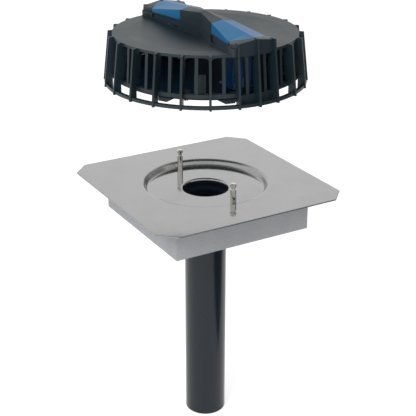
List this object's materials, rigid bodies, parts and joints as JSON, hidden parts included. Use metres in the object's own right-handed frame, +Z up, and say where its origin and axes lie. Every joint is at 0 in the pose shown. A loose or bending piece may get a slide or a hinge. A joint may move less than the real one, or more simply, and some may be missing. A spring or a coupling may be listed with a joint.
{
  "type": "flat roof drain",
  "caption": "Flat roof drain: steel connection plate with drawn bowl on an insulation block, outlet pipe below, and a round leaf strainer with blue release latches lifted off its studs.",
  "frame": {"origin": "centre of the outlet pipe's lower end", "axes": "+Z up along the outlet pipe, +Y through both studs and along the strainer's handle"},
  "size_m": [0.27, 0.27, 0.5782],
  "materials": {
    "steel_sheet": "smooth bright sheet, polished in the bowl",
    "steel_ring": "plain rolled sheet",
    "stud_steel": "bright turned steel",
    "foam": "light grey cut foam with fine speckle",
    "pipe_plastic": "satin black drain pipe",
    "gasket_rubber": "matt black rubber",
    "grate_plastic": "satin dark grey moulding",
    "disc_plastic": "satin dark grey moulding",
    "latch_plastic": "satin blue moulding"
  },
  "bodies": {
    "drain_body": {"connection_plate": "steel_sheet", "insulation_block": "foam", "outlet_pipe": "pipe_plastic", "flange_gasket": "gasket_rubber", "backing_ring": "steel_ring", "stud_near": "stud_steel", "stud_far": "stud_steel", "washer_near": "stud_steel", "washer_far": "stud_steel", "nut_near": "stud_steel", "nut_far": "stud_steel"},
    "strainer": {"strainer_grate": "grate_plastic", "function_disc": "disc_plastic", "disc_screw_1": "stud_steel", "disc_screw_2": "stud_steel", "disc_screw_3": "stud_steel", "disc_screw_4": "stud_steel", "latch_pin_near": "stud_steel", "latch_pin_far": "stud_steel", "latch_spring_near": "stud_steel", "latch_spring_far": "stud_steel"},
    "latch_near": {"latch_near": "latch_plastic"},
    "latch_far": {"latch_far": "latch_plastic"}
  },
  "joints": [
    {"name": "strainer_lift", "type": "slide", "parent": "drain_body", "child": "strainer", "axis": [0, 0, 1], "range_m": [-0.1397, 0]},
    {"name": "latch_near_press", "type": "hinge", "parent": "strainer", "child": "latch_near", "pos_m": [0, -0.033, 0.5635], "axis": [1, 0, 0], "range_deg": [-2, 3.5], "stiffness_Nm_per_rad": 1.5, "deforming": ["latch_spring_near"]},
    {"name": "latch_far_press", "type": "hinge", "parent": "strainer", "child": "latch_far", "pos_m": [0, 0.033, 0.5635], "axis": [-1, 0, 0], "range_deg": [-2, 3.5], "stiffness_Nm_per_rad": 1.5, "deforming": ["latch_spring_far"]}
  ]
}
